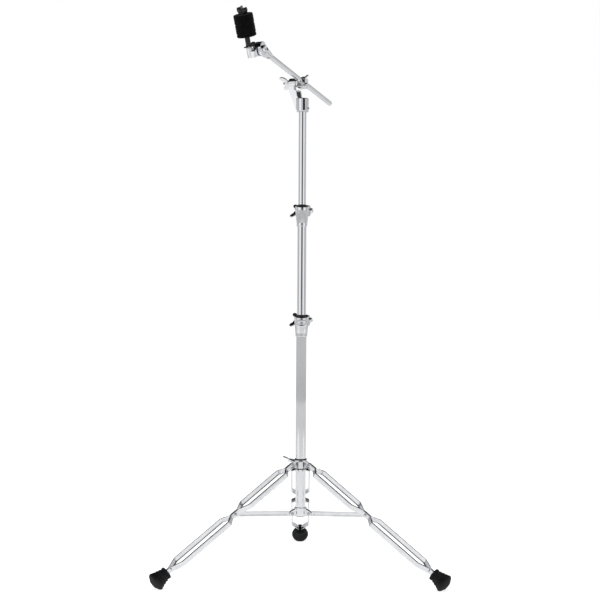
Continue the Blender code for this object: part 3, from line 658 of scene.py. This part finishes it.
def build_legs(looks):
    half = STAY_HEIGHT / 2
    for name, leg in LEGS.items():
        reach, upper = leg["reach"], leg["upper"]
        outline = [*arc((0, 0), half, 90, 270, 24), *arc((reach, 0), half, -90, 90, 24)]
        stay = Solid(f"{name}_stay", plate(outline, -STAY_THICK / 2, STAY_THICK / 2), leg["stay"])
        for x in (0, reach):
            stay.cut(pin_hole(), shift(x))
        trough = [*arc((0.0160, 0), 0.0030, 90, 270, 12), *arc((reach - 0.0160, 0), 0.0030, -90, 90, 12)]
        for side in (1, -1):
            stay.cut(plate(trough, 0.00085, 0.01) if side > 0 else plate(trough, -0.01, -0.00085))
        stay.bevel(0.0006, 3).done(looks["pressed"], 60)
        turned_hub = shift(*leg["hub"]) @ turn(leg["azimuth"])
        simple(f"{name}_hub_pin", rivet(STAY_THICK / 2 + 0.0028), looks["zinc"], turned_hub)
        simple(f"{name}_waist_pin", rivet(STRAP_SHUT), looks["zinc"], leg["leg"])
        top_pin = shift(*middle(f"{name}_leg_top_pin")) @ turn(leg["azimuth"])
        simple(f"{name}_leg_top_pin", along_y(PIN_R, -0.0021, 0.0021, 32), looks["zinc"], top_pin)
        for label, side in (("outer", -1), ("inner", 1)):
            node = f"{name}_leg_{label}_strap"
            band = Solid(node, strap(side, upper), leg["leg"])
            band.cut(pin_hole())
            band.done(looks["pressed"], 40)
            head = [(0, -0.0006), (0.0036, -0.0006), (0.0036, 0.0002),
                    *arc((0.0022, 0.0002), 0.0014, 0, 80, 6), (0, 0.0016)]
            at = leg["leg"] @ shift(-upper, side * STRAP_SHUT) @ turn(-90 * side, "X")
            steel(f"{node}_rivet_head", turned(head, 40), at, BODY_OF[node], looks)
        node = f"{name}_foot"
        at = leg["leg"] @ turn(90, "Y")
        rubber = Solid(node, foot(upper), at)
        tip = LEG_LENGTH - upper - FOOT_LENGTH
        pocket = (STRAP_HEIGHT / 2 + GAP, STRAP_SHUT + GAP)
        rubber.cut(block((-pocket[0], -pocket[1], tip - 0.002), (pocket[0], pocket[1], tip + 0.0186)))
        rubber.cut(block((-1, -1, -0.05), (1, 1, 0.0)), at.inverted() @ MAST_FRAME)
        rubber.done(looks["rubber"], 30)


# Mast ---------------------------------------------------------------------------------------
def build_clamp(prefix, looks, sleeve_bore, outer_bore, foot_r, head_r, badge):
    at = MAST_FRAME @ shift(0, 0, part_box(f"{prefix}_clamp")[0].z)
    bore = outer_bore + GAP
    axis = joint_place(f"{prefix}_wing_turn")[1]
    lug = turn(math.degrees(math.atan2(axis.y, axis.x)) - 90)
    height = CLAMP_HEIGHT
    profile = [(bore, 0), *arc((foot_r - 0.0008, 0.0008), 0.0008, -90, 0, 4), (foot_r, 0.0080),
               (foot_r + 0.30 * (head_r - foot_r), 0.0160), (head_r - 0.0006, height * 0.55),
               (head_r, height * 0.70), (head_r, height), (bore, height)]
    casting = Solid(f"{prefix}_clamp", turned(profile, 64), at)
    bolt_z = height - CLAMP_BOLT_DOWN
    outline = [(head_r - 0.0018, bolt_z - 0.0150), (CLAMP_BOLT_OUT - 0.003, bolt_z - 0.0130),
               *arc((CLAMP_BOLT_OUT, bolt_z), 0.0085, -80, 80, 16),
               (CLAMP_BOLT_OUT - 0.003, bolt_z + 0.0120), (head_r - 0.0018, bolt_z + 0.0130)]
    casting.add(plate(outline, -0.0140, 0.0080), lug)
    if badge:
        casting.add(wrapped_oval((head_r - 0.0015, head_r + 0.0009), 41, 0.0078, 0.0335))
        casting.cut(wrapped_oval((head_r + 0.0001, head_r + 0.0030), 34, 0.0060, 0.0335))
    flute = turned(rod_profile(0.0016, 0.0100, height + 0.01), 20)
    for azimuth in (216, 324):
        casting.cut(flute.copy(), turn(azimuth) @ shift(head_r + 0.0012, 0, 0) @ turn(-1.2, "Y"))
    flute.free()
    casting.cut(block((0.004, -0.0012, height - 0.0350), (0.060, 0.0012, height + 0.010)), lug)
    bolt_place = lug @ shift(CLAMP_BOLT_OUT, 0, bolt_z) @ turn(-90, "X")
    casting.cut(turned(rod_profile(BOLT_HOLE_R, -0.0300, 0.0300), 32), bolt_place)
    casting.cut(block((-0.05, -0.05, 0), (0.05, 0.05, 0.05)), shift(0, 0, height - 0.0055) @ turn(16, "X"))
    casting.soften(0.00045, 5).done(looks["cast"])
    rim = height - 0.0028
    inside = [(sleeve_bore, 0.0275), (outer_bore, 0.0275),
              *arc((outer_bore - 0.0010, rim - 0.0010), 0.0010, 0, 90, 5), (sleeve_bore, rim)]
    simple(f"{prefix}_clamp_bushing", turned(inside), looks["nylon"], at)
    head = -0.0140 - GAP
    screw = [(0, head - 0.0044), (0.0022, head - 0.0044), (0.0024, head - 0.0050), (0.0040, head - 0.0050),
             *arc((0.0042, head - 0.0034), 0.0016, 270, 360, 6), (0.0058, head), (BOLT_R, head),
             (BOLT_R, 0.0240), (0, 0.0240)]
    simple(f"{prefix}_clamp_bolt", turned(screw, 48), looks["cast"], at @ bolt_place)
    steel(f"{prefix}_clamp_bolt_thread", threaded(0.0239, 0.0270), at @ bolt_place,
          BODY_OF[f"{prefix}_clamp_bolt"], looks)
    node = f"{prefix}_clamp_wing_nut"
    winged(node, looks["cast"], wing_frame(node, f"{prefix}_wing_turn"), (0.0064, 0.0083, 0.0240),
           0.0205, 0.0375, 0.0430, 0.0032)


def build_mast(looks):
    build_clamp("lower", looks, MID_R + 0.0002, BASE_R, 0.0149, 0.0180, True)
    build_clamp("upper", looks, TOP_R + 0.0002, MID_R, 0.0133, 0.0168, False)
    for node, bore, radius in (("mid_tube", MID_BORE, MID_R), ("top_tube", TOP_BORE, TOP_R)):
        low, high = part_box(node)
        simple(node, turned(ring_profile(bore, radius, low.z, high.z)), looks["tube"], MAST_FRAME)


# Boom ---------------------------------------------------------------------------------------
def toothed(radius, low, high, face_high, teeth=40):
    """A ratchet disc along Y whose face has radial teeth cut into it."""
    sides, depth, inner, span = teeth * 4, 0.0007, 0.0045, high - low
    bm = bmesh.new()
    rings = []
    stations = [(0.0, 0.0, 0), (radius - 0.0008, 0.0, 0), (radius, 0.0008, 0), (radius, span - 0.0010, 0),
                (radius - 0.0003, span, 1), (inner, span, 1), (inner - 0.0008, span - depth, 0),
                (0.0, span - depth, 0)]
    for r, z, toothy in stations:
        if r == 0:
            rings.append([bm.verts.new((0, 0, z))])
            continue
        ring = []
        for k in range(sides):
            a = 2 * math.pi * k / sides
            saw = abs(((k % 4) - 2) / 2)
            drop = toothy * depth * saw * (r / radius)
            ring.append(bm.verts.new((r * math.cos(a), r * math.sin(a), z - drop)))
        rings.append(ring)
    bridge(bm, rings)
    if face_high:
        bm.transform(shift(0, low, 0) @ turn(-90, "X"))
    else:
        bm.transform(shift(0, high, 0) @ turn(90, "X"))
    return bm


def build_boom_base(looks):
    tilt_at, tilt_axis = joint_place("boom_tilt")
    ahead = tilt_axis.cross(UP)
    at = basis(tilt_at, UP, ahead)
    bottom, top = -0.0740, -0.0410
    bore = TOP_R + GAP
    barrel = [(0, top), *arc((0.0140, top - 0.0016), 0.0016, 90, 0, 6), (0.0150, bottom + 0.0010),
              (0.0142, bottom), (0, bottom)]
    base = Solid("boom_base", turned(barrel, 64), at)
    arm = [(0.0135, -0.0560), (0.0135, -0.0425), (-0.0030, -0.0402), (-0.0048, -0.0365), (-0.0056, -0.0310),
           (-0.0070, -0.0212), (-0.0090, -0.0198), (-0.0165, -0.0198), (-0.0213, -0.0160), (-0.0213, 0.0040),
           (-0.0345, 0.0040), (-0.0348, -0.0160), (-0.0342, -0.0210), (-0.0325, -0.0260), (-0.0238, -0.0450),
           (-0.0158, -0.0670), (-0.0135, -0.0690), (-0.0105, -0.0560)]
    web = plate(arm, -0.0072, 0.0072)
    web.transform(turn(90))
    base.add(web)
    recess = plate([(-0.0065, -0.0222), (0.0180, -0.0222), (0.0180, -0.0396), (-0.0015, -0.0396),
                    (-0.0050, -0.0330)], -0.0200, 0)
    recess.transform(turn(90))
    base.cut(recess, shift(0, -0.0110) @ turn(FACING))
    base.add(block((0.0100, -0.0005, bottom + 0.0012), (0.0162, 0.0068, top - 0.0020)), turn(FACING))
    base.add(along_y(0.0112, -0.0344, -0.0165, 64))
    base.soften(0.00042, 7)
    base.cut(toothed(RATCHET_R, -0.0173, -0.0133, False))
    base.cut(along_y(BOLT_HOLE_R, -0.0600, 0.0100, 32))
    base.cut(turned(rod_profile(bore, -0.1000, top - 0.0026), 64))
    screw_at = set_screw_frame((0, 0, -0.0660), (-0.05, 1, 0))
    base.cut(turned(rod_profile(0.0026, 0.0080, 0.0300), 32), screw_at)
    base.done(looks["cast"], 40)
    socket_screw("boom_base_set_screw", 0.0023, TOP_R + 0.0003, 0.0172, at @ screw_at, looks)


def set_screw_frame(place, direction):
    """A set screw's frame: its Z along the screw, away from the tube that it holds."""
    return shift(*place) @ Vector(direction).to_track_quat("Z", "Y").to_matrix().to_4x4()


def socket_screw(node, radius, low, high, at, looks):
    """A set screw with a hexagonal socket in its end."""
    screw = Solid(node, turned(rod_profile(radius, low, high, 0.0004), 32), at)
    screw.cut(turned(rod_profile(0.55 * radius, high - 0.0018, high + 0.002), 6))
    screw.done(looks["zinc"])


def build_boom(looks):
    tilt_at, tilt_axis = joint_place("boom_tilt")
    along = joint_place("boom_rod_slide")[1]
    at = basis(tilt_at, along.cross(tilt_axis), along)
    clamp = Solid("boom_clamp", block((-0.0100, -0.0113, -0.0150), (0.0100, 0.0105, 0.0085)), at)
    boss_at = shift(-0.0060, -0.0010, 0) @ turn(8, "X")
    clamp.add(along_y(0.0112, -0.0157, -0.0095, 64))
    clamp.add(turned(rod_profile(0.0052, 0.0040, 0.0108, 0.0006), 40), boss_at)
    clamp.add(along_y(0.0058, 0.0090, 0.0134, 40), shift(0, 0, -0.0085))
    clamp.cut(block((-0.0110, 0.0014, -0.0110), (0.0110, 0.0200, -0.0092)))
    clamp.soften(0.00042, 6)
    clamp.cut(turned(rod_profile(ROD_R + 0.00025, -0.0200, 0.0200), 64), turn(90, "Y"))
    clamp.cut(toothed(RATCHET_R, -0.0188, -0.0150, True))
    clamp.cut(along_y(BOLT_HOLE_R, -0.0300, -0.0030, 32))
    clamp.cut(along_y(0.0050, -0.0098, -0.0030, 32))
    clamp.cut(turned(rod_profile(0.0029, 0.0030, 0.0300), 32), boss_at)
    clamp.done(looks["cast"], 40)
    away = basis(tilt_at, -tilt_axis, along)
    bolt = [(0, 0.0068), (0.0045, 0.0068), (0.0045, 0.0093), (BOLT_R, 0.0093), (BOLT_R, 0.0470), (0, 0.0470)]
    simple("tilt_bolt", turned(bolt, 40), looks["zinc"], away)
    steel("tilt_bolt_thread", threaded(0.0469, 0.0530), away, "boom_pivot", looks)
    for node, joint_name, hub, start, end, span, bore, thick in (
        ("tilt_wing_nut", "tilt_wing_turn", (0.0070, 0.0352, 0.0480), 0.0385, 0.0580, 0.0420, 0.0032,
         0.0034),
        ("boom_wing_bolt", "rod_wing_turn", (0.0042, 0.0113, 0.0160), 0.0118, 0.0190, 0.0300, 0, 0.0030),
        ("tilter_wing_nut", "tilter_wing_turn", (0.0066, 0.0081, 0.0185), 0.0100, 0.0280, 0.0410, 0.0032,
         0.0034),
    ):
        winged(node, looks["cast"], wing_frame(node, joint_name), hub, start, end, span, bore, thick)
    place, axis = joint_place("rod_wing_turn")
    stub = basis(place, axis, along)
    steel("boom_wing_bolt_thread", threaded(0.0068, 0.0116, 0.0026), stub, "rod_wing", looks)
    ends = [(v.co - tilt_at).dot(along) for v in frame["nodes"]["boom_rod"].data.vertices]
    rod = turned(rod_profile(ROD_R, min(ends), max(ends), 0.0011), 64)
    simple("boom_rod", rod, looks["tube"], basis(tilt_at, along, tilt_axis))


def build_tilter(looks):
    head_at, axis = joint_place("cymbal_tilt")
    along = joint_place("boom_rod_slide")[1]
    at = basis(head_at, along.cross(axis), along)
    socket = Solid("tilter_socket", along_y(TILTER_DISC_R, 0.0004, 0.0078, 64), at)
    barrel = [(0, -0.0480), (0.0072, -0.0480), *arc((0.0072, -0.0472), 0.0008, -90, 0, 4),
              (0.0128, -0.0132), (0.0076, -0.0086), (0.0060, -0.0020), (0, -0.0020)]
    socket.add(turned(barrel, 48), turn(90, "Y"))
    clear = TILTER_DISC_R + 0.0013
    socket.cut(block((-clear, -0.0150, -clear), (clear, 0, clear)))
    socket.soften(0.0004, 5)
    socket.cut(turned(rod_profile(ROD_R + 0.00025, -0.0600, -0.0207), 64), turn(90, "Y"))
    socket.cut(toothed(clear, -0.0030, 0.0012, True, 52))
    socket.cut(along_y(BOLT_HOLE_R, -0.0200, 0.0200, 32))
    screw_at = set_screw_frame((-0.0360, 0, 0), (0, 0.25, -1))
    socket.cut(turned(rod_profile(0.0025, 0.0040, 0.0200), 32), screw_at)
    socket.done(looks["cast"], 40)
    socket_screw("tilter_set_screw", 0.0022, ROD_R + 0.0003, 0.0108, at @ screw_at, looks)
    away = basis(head_at, -axis, along)
    bolt = [(0, -0.0118), (0.0030, -0.0118), (0.0036, -0.0131), (0.0060, -0.0131),
            *arc((0.0061, -0.0116), 0.0015, 270, 360, 6), (0.0076, -0.0082), (BOLT_R, -0.0082),
            (BOLT_R, 0.0186), (0, 0.0186)]
    simple("tilter_bolt", turned(bolt, 48), looks["cast"], away)
    steel("tilter_bolt_thread", threaded(0.0185, 0.0240), away, "boom", looks)


def build_stem(looks):
    head_at, tilt_axis = joint_place("cymbal_tilt")
    nut_at, stem_axis = joint_place("top_nut_turn")
    at = basis(head_at, stem_axis, tilt_axis.cross(stem_axis))
    local = at.inverted() @ nut_at
    out, side, felt_top = local.x, local.y, local.z - GAP
    yoke = Solid("tilter_yoke", along_y(TILTER_DISC_R, -0.0078, -0.0004, 64), at)
    far = out + 0.0050
    bar = [(0.0020, -0.0124), (far, -0.0124), (far, 0.0020), (0.0200, 0.0050), (0.0100, 0.0090)]
    yoke.add(plate(bar, -0.0076, -0.0010))
    yoke.add(block((0.0238, side, -0.0123), (far - 0.0001, -0.0012, 0.0018)))
    yoke.add(turned(rod_profile(0.0068, -0.0125, 0.0105, 0.0008), 48), shift(out, side))
    yoke.soften(0.0004, 7)
    yoke.cut(toothed(TILTER_DISC_R + 0.0013, -0.0012, 0.0030, False, 52))
    yoke.cut(turned(rod_profile(STEM_R + 0.0002, -0.0140, 0.0300), 32), shift(out, side))
    yoke.cut(along_y(BOLT_HOLE_R, -0.0200, 0.0200, 32))
    yoke.done(looks["cast"], 40)
    post = at @ shift(out, side)
    low, high = span_along(post, "cymbal_stem")
    simple("cymbal_stem", turned(rod_profile(STEM_R, low, high - 0.0300, 0.0002), 40), looks["zinc"], post)
    steel("cymbal_stem_thread", threaded(high - 0.0302, high, STEM_R, 32, 10), post, "stem", looks)
    hole, wide, seat, base = STEM_R + GAP, SLEEVE_R + 0.0012, SEAT_Z, SLEEVE_Z
    washer = [(hole, seat - 0.0006), (0.0060, seat - 0.0006), (0.0105, seat + 0.0002),
              (0.0118, seat + 0.0006), (0.0120, seat + 0.0011), (0.0117, seat + 0.0014),
              (0.0085, seat + 0.0009), (hole, seat + 0.0008)]
    simple("cup_washer", turned(washer), looks["tube"], post)
    sleeve = [(hole, base), (wide - 0.0004, base), (wide, base + 0.0004), (wide, base + 0.0016),
              (wide - 0.0004, base + 0.0020), (SLEEVE_R, base + 0.0024), (SLEEVE_R, felt_top - 0.0010),
              (hole, felt_top - 0.0010)]
    simple("cymbal_sleeve", turned(sleeve), looks["nylon"], post)
    for node in ("bottom_felt", "middle_felt", "top_felt"):
        build_felt(node, *span_along(post, node), post, looks["felt"])


def span_along(post, node):
    """A node's lowest and highest points along the Z of the frame post."""
    inverse = post.inverted()
    heights = [(inverse @ v.co).z for v in frame["nodes"][node].data.vertices]
    return min(heights), max(heights)


def build_felt(node, low, high, post, look):
    """A felt disc: a rounded, slightly uneven drum whose surface is roughened in the mesh."""
    soft = min(0.0024, (high - low) / 2.6)
    lower = arc((FELT_R - soft, low + soft), soft, -90, 0, 7)
    upper = arc((FELT_R - soft, high - soft), soft, 0, 90, 7)
    rows = range(1, 12) if high - low > 0.01 else ()
    wall = [(FELT_R, low + soft + (high - low - 2 * soft) * k / 12) for k in rows]
    flat = [(FELT_BORE + (FELT_R - soft - FELT_BORE) * k / 8, low) for k in range(8)]
    lid = [(FELT_R - soft - (FELT_R - soft - FELT_BORE) * k / 8, high) for k in range(1, 9)]
    bm = turned(flat + lower + wall + upper + lid, 120)
    bm.normal_update()
    for vert in bm.verts:
        if vert.co.xy.length < FELT_BORE + 0.0002:
            continue
        fine = noise.noise(vert.co * 900) * 0.00009
        rough = fine + noise.noise(vert.co * 240 + Vector((3, 1, low * 90))) * 0.00016
        outermost = abs(vert.co.xy.length - FELT_R) < 0.0001 or vert.co.z in (low, high)
        vert.co += vert.normal * min(-abs(rough) if outermost else rough, 0.0)
    simple(node, bm, look, post, 80)


def build_top_nut(looks):
    """The moulded nut on top: a hub with two thick rounded lobes."""
    hub = [(0, 0), (0.0092, 0), (0.0100, 0.0008), (0.0100, 0.0040), (0.0086, 0.0052), (0.0080, 0.0112),
           (0.0072, 0.0120), (0, 0.0120)]
    nut = Solid("top_nut", turned(hub, 48), wing_frame("top_nut", "top_nut_turn"))
    lobe = [(0.002, 0.0013), (0.0095, 0.0015), (0.0130, 0.0032), (0.0154, 0.0064), (0.0159, 0.0100),
            (0.0149, 0.0136), (0.0128, 0.0149), (0.0098, 0.0142), (0.0066, 0.0110), (0.002, 0.0100)]
    for side in (1, -1):
        nut.add(plate([(side * x, z) for x, z in lobe], -0.0047, 0.0047))
    nut.soften(0.0004, 9)
    nut.cut(turned(rod_profile(STEM_R + GAP, -0.01, 0.03), 32))
    nut.done(looks["nylon"], 50)


# Studio -------------------------------------------------------------------------------------
def build_floor():
    """A pale floor that glows softly into the white background: a painted glow, as it is no lamp. In reflections
    it glows in greyer bands by distance, which are painted reflections in the chrome.
    """
    bm = bmesh.new()
    bmesh.ops.create_circle(bm, cap_ends=True, segments=96, radius=FLOOR_REACH)
    floor = made_object("studio_floor", bm, Matrix())
    look = Look("pale_floor", (0.90, 0.90, 0.90), 0.0, 0.75)
    look.bump(look.noise(3, 2), 0.0002, 0.05)
    look.shader.inputs["Specular IOR Level"].default_value = 0.0
    look.shader.inputs["Emission Color"].default_value = (1, 1, 1, 1)
    distance = look.nodes.new("ShaderNodeVectorMath")
    distance.operation = "LENGTH"
    look.links.new(look.nodes.new("ShaderNodeNewGeometry").outputs["Position"], distance.inputs[0])
    # The glow that reflections see: painted reflections in the chrome, in bands by distance from the stand
    painted_reflection = tone_ramp(look.nodes, FLOOR_REFLECTED_GLOW, 0.0, FLOOR_FAR)
    look.links.new(distance.outputs["Value"], painted_reflection[0])
    seen = look.nodes.new("ShaderNodeMapRange")
    seen.inputs["From Min"].default_value, seen.inputs["From Max"].default_value = FLOOR_FADE
    seen.inputs["To Min"].default_value, seen.inputs["To Max"].default_value = FLOOR_SEEN
    look.links.new(distance.outputs["Value"], seen.inputs["Value"])
    # Painted light: the floor glows near white to the camera, and in the greyer distance bands wherever the chrome
    # mirrors it
    glow = look.nodes.new("ShaderNodeMix")
    look.links.new(look.nodes.new("ShaderNodeLightPath").outputs["Is Camera Ray"], glow.inputs["Factor"])
    look.links.new(painted_reflection[1], glow.inputs["A"])
    look.links.new(seen.outputs["Result"], glow.inputs["B"])
    look.links.new(glow.outputs["Result"], look.shader.inputs["Emission Strength"])
    floor.data.materials.append(look.material)


def tone_ramp(nodes, stops, low, high):
    """A grey ramp over low to high from (value, tone) stops. Gives its input and its output."""
    span = nodes.new("ShaderNodeMapRange")
    span.inputs["From Min"].default_value = low
    span.inputs["From Max"].default_value = high
    tones = nodes.new("ShaderNodeValToRGB")
    tones.color_ramp.interpolation = "EASE"
    ramp = tones.color_ramp.elements
    while len(ramp) < len(stops):
        ramp.new(0.5)
    for element, (value, tone) in zip(ramp, stops):
        element.position = (value - low) / (high - low)
        element.color = (tone, tone, tone * 1.01, 1)
    span.id_data.links.new(span.outputs["Result"], tones.inputs["Fac"])
    return span.inputs["Value"], tones.outputs["Color"]


def build_world():
    """White studio walls with a few soft dark screens between them, and a grey ceiling."""
    world = bpy.data.worlds.new("studio")
    bpy.context.scene.world = world
    world.use_nodes = True
    nodes, links = world.node_tree.nodes, world.node_tree.links
    nodes.clear()
    direction = nodes.new("ShaderNodeTexCoord").outputs["Generated"]
    split = nodes.new("ShaderNodeSeparateXYZ")
    links.new(direction, split.inputs["Vector"])
    azimuth = nodes.new("ShaderNodeMath")
    azimuth.operation = "ARCTAN2"
    links.new(split.outputs["Y"], azimuth.inputs[0])
    links.new(split.outputs["X"], azimuth.inputs[1])
    degrees = nodes.new("ShaderNodeMath")
    degrees.operation = "DEGREES"
    links.new(azimuth.outputs["Value"], degrees.inputs[0])
    walls = tone_ramp(nodes, WALL_TONES, -180.0, 180.0)
    links.new(degrees.outputs["Value"], walls[0])
    ceiling = nodes.new("ShaderNodeMapRange")
    ceiling.inputs["From Min"].default_value, ceiling.inputs["From Max"].default_value = CEILING_RISE
    ceiling.inputs["To Min"].default_value, ceiling.inputs["To Max"].default_value = 1.0, CEILING_TONE
    links.new(split.outputs["Z"], ceiling.inputs["Value"])
    shaded = nodes.new("ShaderNodeMix")
    shaded.data_type = "RGBA"
    shaded.blend_type = "MULTIPLY"
    shaded.inputs["Factor"].default_value = 1.0
    links.new(walls[1], shaded.inputs["A"])
    links.new(ceiling.outputs["Result"], shaded.inputs["B"])
    seen = nodes.new("ShaderNodeMix")
    seen.data_type = "RGBA"
    seen.inputs["B"].default_value = (1.0, 1.0, 1.0, 1)
    links.new(nodes.new("ShaderNodeLightPath").outputs["Is Camera Ray"], seen.inputs["Factor"])
    links.new(shaded.outputs["Result"], seen.inputs["A"])
    background = nodes.new("ShaderNodeBackground")
    background.inputs["Strength"].default_value = 1.0
    links.new(seen.outputs["Result"], background.inputs["Color"])
    links.new(background.outputs["Background"], nodes.new("ShaderNodeOutputWorld").inputs["Surface"])


# (azimuth in degrees, tone) round the studio: the camera is at -90
WALL_TONES = [(-180, 0.50), (-172, 0.44), (-158, 0.92), (-138, 1.08), (-115, 0.84), (-102, 0.30),
              (-94, 0.04), (-84, 0.04), (-76, 0.22), (-64, 0.78), (-40, 1.08), (-24, 0.76), (-12, 0.40),
              (-2, 0.42), (16, 0.62), (60, 0.72), (90, 0.40), (120, 0.72), (150, 0.62), (180, 0.50)]
CEILING_TONE, CEILING_RISE = 0.03, (0.22, 0.50)     # its grey, and the heights that it comes in over
FLOOR_REACH, FLOOR_FAR = 40.0, 20.0
# (metres from the stand, tone) of the floor's painted glow as the chrome mirrors it: greyer bands that paint
# reflections into the chrome
FLOOR_REFLECTED_GLOW = [(0.0, 0.40), (2.0, 0.38), (3.4, 0.45), (4.9, 0.56), (5.2, 0.36), (6.0, 0.40), (9.0, 0.48),
               (13.0, 0.49), (20.0, 0.50)]
FLOOR_SEEN, FLOOR_FADE = (0.80, 1.0), (2.0, 6.0)    # its tones seen directly, and the metres between


def area_light(name, place, target, size, power):
    light = bpy.data.lights.new(name, "AREA")
    light.shape = "RECTANGLE"
    light.size, light.size_y = size
    light.energy = power
    made = bpy.data.objects.new(name, light)
    bpy.context.scene.collection.objects.link(made)
    made.location = place
    made.rotation_euler = (Vector(target) - Vector(place)).to_track_quat("-Z", "Y").to_euler()
    made.visible_glossy = False        # the chrome mirrors the studio walls instead


def build_lights():
    area_light("overhead", (0.0, -0.3, 3.4), (0, 0, 0), (2.6, 2.6), 62)
    area_light("left_panel", (-2.6, -1.6, 1.5), (0, 0, 0.8), (0.9, 2.2), 16)
    area_light("right_panel", (2.7, -1.2, 1.3), (0, 0, 0.7), (0.7, 2.0), 9)


CAMERA_X, CAMERA_BACK, CAMERA_HEIGHT, CAMERA_LENS, CAMERA_ROLL = -0.0039, 3.0, 0.676, 72.3, 0.327


def build_camera():
    lens = bpy.data.cameras.new("camera")
    lens.lens = CAMERA_LENS
    lens.sensor_width = 36.0
    made = bpy.data.objects.new("camera", lens)
    bpy.context.scene.collection.objects.link(made)
    made.location = (CAMERA_X, MAST.y - CAMERA_BACK, CAMERA_HEIGHT)
    made.rotation_euler = (math.radians(90), math.radians(-CAMERA_ROLL), 0)
    bpy.context.scene.camera = made
    bpy.context.scene.view_settings.view_transform = "Standard"


LEGS = leg_frames()


def main():
    looks = {"tube": tube_chrome(), "cast": cast_chrome(), "pressed": pressed_chrome(), "zinc": zinc_steel(),
             "nylon": black_nylon(), "rubber": black_rubber(), "felt": black_felt()}
    build_camera()
    build_base(looks)
    build_collar(looks)
    build_legs(looks)
    build_mast(looks)
    build_boom_base(looks)
    build_boom(looks)
    build_tilter(looks)
    build_stem(looks)
    build_top_nut(looks)
    build_floor()
    build_world()
    build_lights()


main()
